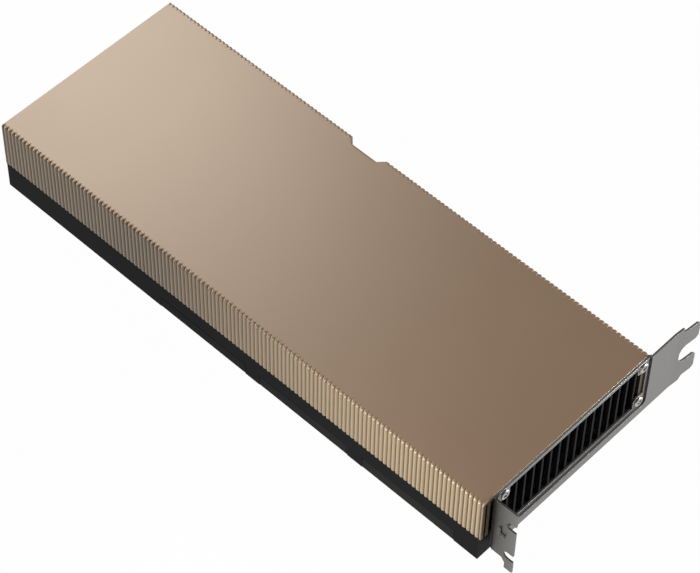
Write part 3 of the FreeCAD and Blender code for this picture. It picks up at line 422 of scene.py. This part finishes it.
def upright(outline, low, high):
    """A flat outline in plan, carried straight up from one level to another."""
    plan = np.array(outline, float)
    levels = np.array([low, high])
    loops = np.empty((2, len(plan), 3))
    loops[:, :, :2] = plan
    loops[:, :, 2] = levels[:, None]
    return shell(loops)


def block(x0, x1, y0, y1, low, high):
    """A rectangular block."""
    return upright([(x0, y0), (x1, y0), (x1, y1), (x0, y1)], low, high)


def rib_relief(x):
    """How far the wall lies behind the ribs' crests.

    With u running from -1 to 1 across one rib, the crest at 0, the wall is set back by the rib's depth
    times 1 - sqrt(1 - |u| ** 2.4): a round crest, and a sharp groove where two ribs meet.
    """
    u = 2 * np.mod((x - REAR) / RIB_PITCH + 0.5, 1.0) - 1
    return RIB_DEPTH * (1 - np.sqrt(np.clip(1 - np.abs(u) ** 2.4, 0, 1)))


def rib_stations(steps=12):
    """Places along the shroud, close together at the grooves and wider apart on the crests."""
    across = np.sin(np.linspace(-1, 1, steps + 1)[:-1] * math.pi / 2) / 2
    places = (REAR + RIB_PITCH * (np.arange(RIB_COUNT + 1)[:, None] + across[None, :])).ravel()
    clear = END_BEVEL + 0.05 * MM
    places = places[(places > REAR + clear) & (places < FRONT - clear)]
    return np.sort(np.concatenate([places, [REAR, REAR + END_BEVEL, FRONT - END_BEVEL, FRONT]]))


def rounding(radius, steps=4):
    """A rounded corner as pairs of setbacks from its two faces, from one face round to the other.

    They are radius * (1 - sin t) and radius * (1 - cos t) over a quarter turn t. One more point on
    each flat face, just past the rounding, keeps the shading of the flat faces flat.
    """
    turn = np.linspace(0, math.pi / 2, steps + 1)
    first = np.concatenate([[radius * 1.3], radius * (1 - np.sin(turn)), [0]])
    second = np.concatenate([[0], radius * (1 - np.cos(turn)), [radius * 1.3]])
    return list(zip(first, second))


def ribbed_section():
    """The shroud's U section at every station, as stations by points by 3.

    It runs up the near wall, over the roof and down the far wall, then back inside, and the ribs move
    its outer points. The latch gap draws the far wall in by its own depth, along a ramp at each end.
    """
    x = rib_stations()
    near_relief = rib_relief(x)
    drawn = np.clip(np.minimum((x - GAP_START) / GAP_RAMP, (GAP_END - x) / GAP_RAMP), 0, 1) * GAP_DEPTH
    far_relief = np.where(drawn > 0, drawn, near_relief)
    lining = np.clip(drawn - 0.9 * MM, 0, None)
    near_wall, far_wall = SIDE + near_relief, FAR_SIDE - far_relief
    turn = rounding(EDGE_RADIUS)
    section = [(near_wall + inward, FOOT + up) for inward, up in turn]
    section += [(near_wall + inward, TOP - down) for down, inward in turn]
    section += [(far_wall - inward, TOP - down) for inward, down in turn]
    section += [(far_wall - inward, FOOT + up) for up, inward in turn]
    outer = len(section)
    section += [(FAR_SIDE - WALL - lining, FOOT), (FAR_SIDE - WALL - lining, TOP - ROOF),
                (SIDE + WALL, TOP - ROOF), (SIDE + WALL, FOOT)]
    loops = np.empty((len(x), len(section), 3))
    loops[:, :, 0] = x[:, None]
    for k, (y, z) in enumerate(section):
        loops[:, k, 1] = y
        loops[:, k, 2] = z
    # Both ends are bevelled: their outer points step in and down
    for end in (0, -1):
        inward = np.sign((SIDE + FAR_SIDE) / 2 - loops[end, :outer, 1]) * 0.3 * MM
        loops[end, :outer, 1] += inward
        loops[end, :outer, 2] = np.minimum(loops[end, :outer, 2], TOP - 0.45 * MM)
    return loops


def make_shroud_skin():
    """The ribbed shroud: its section carried along the card, and the blocks and posts inside it."""
    roof = TOP - ROOF
    far_lining = FAR_SIDE - WALL
    # Returns beside the vent, near and far
    shells = [shell(ribbed_section()),
              block(FRONT - 2 * MM, FRONT, SIDE + 2.9 * MM, SIDE + 4.5 * MM, FOOT, roof),
              block(FRONT - 2 * MM, FRONT, SIDE + 92.6 * MM, far_lining, FOOT + 1.5 * MM, roof)]
    # Blocks that take the vent's upper screws
    back, face, under = FRONT - 8.5 * MM, FRONT - 1.5 * MM, TOP - 6.5 * MM
    shells.append(block(back, face, SIDE + 8.3 * MM, SIDE + 14.3 * MM, under, roof))
    shells.append(block(back, face, SIDE + 90.2 * MM, far_lining, under, roof))
    for along in POST_ALONG:
        for across in POST_ACROSS:
            shells.append(block(along - POST_HALF, along + POST_HALF, across - POST_HALF,
                                across + POST_HALF, POST_FOOT, roof))
    piece("ribbed_shroud", shells, GOLD, "shroud")


def make_screws(name, stands_for, centres, facing, head, shank, recess):
    """Screws turned from one profile: recess, domed rim, shank and point.

    head is radius and height, shank is radius and length, recess is radius and depth. The surface is
    the profile's radius and height against a full turn. Inside the recess the radius is
    recess * (1 + 0.14 cos 6t), which gives the driver's six lobes.
    """
    head_r, head_h = head
    shank_r, length = shank
    recess_r, depth = recess
    profile = np.array([
        (0.02 * recess_r, head_h - depth), (0.9 * recess_r, head_h - depth),
        (recess_r, head_h - 0.1 * depth), (1.15 * recess_r, head_h), (head_r * 0.72, head_h),
        (head_r * 0.93, head_h * 0.78), (head_r, head_h * 0.45), (head_r, 0.0),
        (shank_r, -0.02 * MM), (shank_r, -length), (0.02 * shank_r, -length)])
    turn = np.linspace(0, 2 * math.pi, 25)[:-1]
    lobes = np.zeros(len(profile))
    lobes[1:4] = 0.14
    radius = profile[:, 0][:, None] * (1 + lobes[:, None] * np.cos(6 * turn)[None, :])
    level = np.broadcast_to(profile[:, 1][:, None], radius.shape)
    facing = Vector(facing)
    side = facing.orthogonal().normalized()
    other = facing.cross(side)
    local = (radius * np.cos(turn))[..., None] * np.array(side)
    local = local + (radius * np.sin(turn))[..., None] * np.array(other)
    local = local + level[..., None] * np.array(facing)
    shells = [shell(local + np.array(centre)) for centre in centres]
    piece(name, shells, ZINC, stands_for, crease=50)


def corners_of(node_name, head_radius, axis):
    """The middles of four or two screws, from the box that holds them all."""
    low, high = corner(node_name)
    spread = [sorted({round(low[k] + head_radius, 7), round(high[k] - head_radius, 7)}) for k in range(3)]
    spread[axis] = [None]
    return [[a, b, c] for a in spread[0] for b in spread[1] for c in spread[2]]


def make_all_screws():
    """The vent's screws, and the two sets under the board. Sizes are radius and height."""
    places = [[VENT_FACE, y, z] for _, y, z in corners_of("vent_screws", 2.45 * MM, 0)]
    make_screws("vent_screw_set", "vent_screws", places, (1, 0, 0),
                (2.45 * MM, 0.9 * MM), (1.25 * MM, 5.8 * MM), (1.25 * MM, 0.8 * MM))
    under = corner("circuit_board")[0][2]
    for name, stands_for, head, shank, recess in (
            ("cooler_screw_set", "cooler_screws", (3.0, 1.5), (1.5, 5.6), (1.2, 1.0)),
            ("lug_screw_set", "lug_screws", (2.9, 1.4), (1.5, 3.2), (1.2, 0.9))):
        head, shank, recess = (tuple(MM * part for part in size) for size in (head, shank, recess))
        places = [[x, y, under] for x, y, _ in corners_of(stands_for, head[0], 2)]
        make_screws(name, stands_for, places, (0, 0, -1), head, shank, recess)


def make_contact_row():
    """The slot edge's contacts: thin pads a millimetre apart, on both faces of the board.

    Every pad is one eight-cornered outline, moved by whole pitches. Only the last pad of each field
    is shorter.
    """
    low, high = corner("edge_contacts")
    board_low, board_high = corner("circuit_board")
    short_field, long_field = 11, 71
    pitch, half, cut_off = 1.0 * MM, 0.35 * MM, 0.12 * MM
    first = 1.25 * MM + half
    middles = np.concatenate([
        first + pitch * np.arange(short_field), -(first + pitch * np.arange(long_field))])
    near = np.full(len(middles), low[1])
    far = np.full(len(middles), high[1])
    far[[short_field - 1, -1]] -= 1.1 * MM
    shells = []
    for level, top in ((board_high[2], high[2]), (low[2], board_low[2])):
        for middle, a, b in zip(middles, near, far):
            west, east = middle - half, middle + half
            shells.append(upright([
                (west + cut_off, a), (east - cut_off, a), (east, a + cut_off), (east, b - cut_off),
                (east - cut_off, b), (west + cut_off, b), (west, b - cut_off), (west, a + cut_off)],
                level, top))
    piece("slot_contacts", shells, CONTACT, "edge_contacts", crease=20)


def softened(name, stands_for, finish, moved=None):
    """A copy of a folded sheet part, its loose triangles merged and its sharp edges broken.

    moved takes the copy's points as one array and gives their new places.
    """
    source = NODES[stands_for].data
    sheet = bmesh.new()
    sheet.from_mesh(source)
    bmesh.ops.remove_doubles(sheet, verts=sheet.verts, dist=0.002 * MM)
    bmesh.ops.dissolve_limit(sheet, angle_limit=math.radians(1), verts=sheet.verts, edges=sheet.edges)
    mesh = bpy.data.meshes.new(name)
    sheet.to_mesh(mesh)
    sheet.free()
    if moved:
        points = np.empty(len(mesh.vertices) * 3)
        mesh.vertices.foreach_get("co", points)
        mesh.vertices.foreach_set("co", moved(points.reshape(-1, 3)).ravel())
        mesh.update()
    mesh.materials.clear()
    mesh.materials.append(finish)
    mesh.polygons.foreach_set("use_smooth", np.ones(len(mesh.polygons), bool))
    mesh.set_sharp_from_angle(angle=math.radians(35))
    made = bpy.data.objects.new(name, mesh)
    SCENE.collection.objects.link(made)
    broken = made.modifiers.new("broken edges", "BEVEL")
    broken.width = 0.10 * MM
    broken.segments = 2
    broken.limit_method = "ANGLE"
    broken.angle_limit = math.radians(45)
    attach(made, "root")
    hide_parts(stands_for)


def spring_tongues(points):
    """Spreads the tongues' short step into one long easy slope.

    The step outwards is taken off as it was drawn, steep over two millimetres. It is put back as a
    straight slope from the tongues' root to their tips.
    """
    tip = points[:, 1].max()
    root, neck, step = tip - 13.6 * MM, tip - 11.6 * MM, 1.2 * MM
    steep = np.clip((points[:, 1] - root) / (neck - root), 0, 1)
    easy = np.clip((points[:, 1] - root) / (tip - root), 0, 1)
    made = points.copy()
    made[:, 0] += step * (easy - steep)
    return made


softened("bracket_sheet", "bracket", STEEL, spring_tongues)
softened("vent_surround", "vent_frame", SURROUND)
make_shroud_skin()
make_all_screws()
make_contact_row()


# ---- light, floor and camera -----------------------------------------------------------------------
def area_lamp(name, place_at, aim, wide, high, watts, colour=(1, 1, 1)):
    """A soft rectangular lamp that faces a point."""
    lamp = bpy.data.lights.new(name, "AREA")
    lamp.shape = "RECTANGLE"
    lamp.size, lamp.size_y, lamp.energy, lamp.color = wide, high, watts, colour
    holder = bpy.data.objects.new(name, lamp)
    holder.location = place_at
    holder.rotation_euler = (Vector(aim) - Vector(place_at)).to_track_quat("-Z", "Y").to_euler()
    SCENE.collection.objects.link(holder)


def white_to_camera(tree, lit, output, share):
    """Shows mostly pure white to the camera and to reflections, and the lit shader to all else."""
    white = node(tree, "ShaderNodeEmission", Color=(1, 1, 1, 1), Strength=1.0)
    path = tree.nodes.new("ShaderNodeLightPath")
    seen = arithmetic(tree, "MAXIMUM", path.outputs["Is Camera Ray"], path.outputs["Is Glossy Ray"])
    seen = arithmetic(tree, "MAXIMUM", seen, path.outputs["Is Transmission Ray"])
    seen = arithmetic(tree, "MULTIPLY", seen, share)
    mixer = tree.nodes.new("ShaderNodeMixShader")
    tree.links.new(seen, mixer.inputs[0])
    tree.links.new(lit, mixer.inputs[1])
    tree.links.new(white.outputs[0], mixer.inputs[2])
    tree.links.new(mixer.outputs[0], output)


def make_world():
    """A low even fill on the object."""
    world = bpy.data.worlds.new("studio")
    SCENE.world = world
    world.use_nodes = True
    fill = world.node_tree.nodes["Background"]
    fill.inputs["Color"].default_value = (1.0, 0.96, 0.90, 1)
    fill.inputs["Strength"].default_value = 0.12


def make_floor():
    """A pale studio floor just under the card."""
    reach = 30.0
    mesh = bpy.data.meshes.new("floor")
    mesh.from_pydata([(-reach, -reach, FLOOR_LEVEL), (reach, -reach, FLOOR_LEVEL),
                      (reach, reach, FLOOR_LEVEL), (-reach, reach, FLOOR_LEVEL)], [], [(0, 1, 2, 3)])
    floor = bpy.data.objects.new("floor", mesh)
    SCENE.collection.objects.link(floor)
    paint, tree, shader, _ = start_material("pale floor")
    shader.inputs["Base Color"].default_value = (0.35, 0.35, 0.35, 1)
    shader.inputs["Roughness"].default_value = 0.9
    output = tree.nodes["Material Output"].inputs["Surface"]
    white_to_camera(tree, shader.outputs[0], output, 0.985)
    mesh.materials.append(paint)


def make_camera():
    """A long lens above the near front corner, rolled slightly about its own axis."""
    place_at, aim, roll = Vector((0.39215, -0.55513, 0.89252)), (-0.41078, 0.44636, -0.79500), 1.295
    data = bpy.data.cameras.new("camera")
    data.sensor_width = 36.0
    data.lens = 140.7
    data.shift_x, data.shift_y = 0.0024714, -0.0009429
    holder = bpy.data.objects.new("camera", data)
    SCENE.collection.objects.link(holder)
    away = Vector(aim).normalized()
    side = away.cross(Vector((0, 0, 1))).normalized()
    up = side.cross(away)
    roll = math.radians(roll)
    side, up = side * math.cos(roll) + up * math.sin(roll), up * math.cos(roll) - side * math.sin(roll)
    turn = Matrix((side, up, -away)).transposed()
    holder.matrix_world = Matrix.Translation(place_at) @ turn.to_4x4()
    SCENE.camera = holder


SCENE.view_settings.view_transform = "Standard"
make_world()
make_floor()
make_camera()
area_lamp("rear key", (-0.575, 0.23, 0.56), (-0.20, -0.06, 0), 0.3, 0.3, 1.95, (1, 0.97, 0.85))
area_lamp("left high", (-0.48, -0.32, 0.30), (-0.16, -0.09, 0.02), 0.3, 0.3, 1.5, (1, 0.97, 0.88))
area_lamp("near side", (0.01, -0.30, 0.06), (0.16, -0.20, 0.02), 0.15, 0.10, 0.76, (1, 1, 0.90))
area_lamp("bracket side", (0.27, 0.20, 0.09), (0.058, -0.02, 0.02), 0.15, 0.12, 1.75)
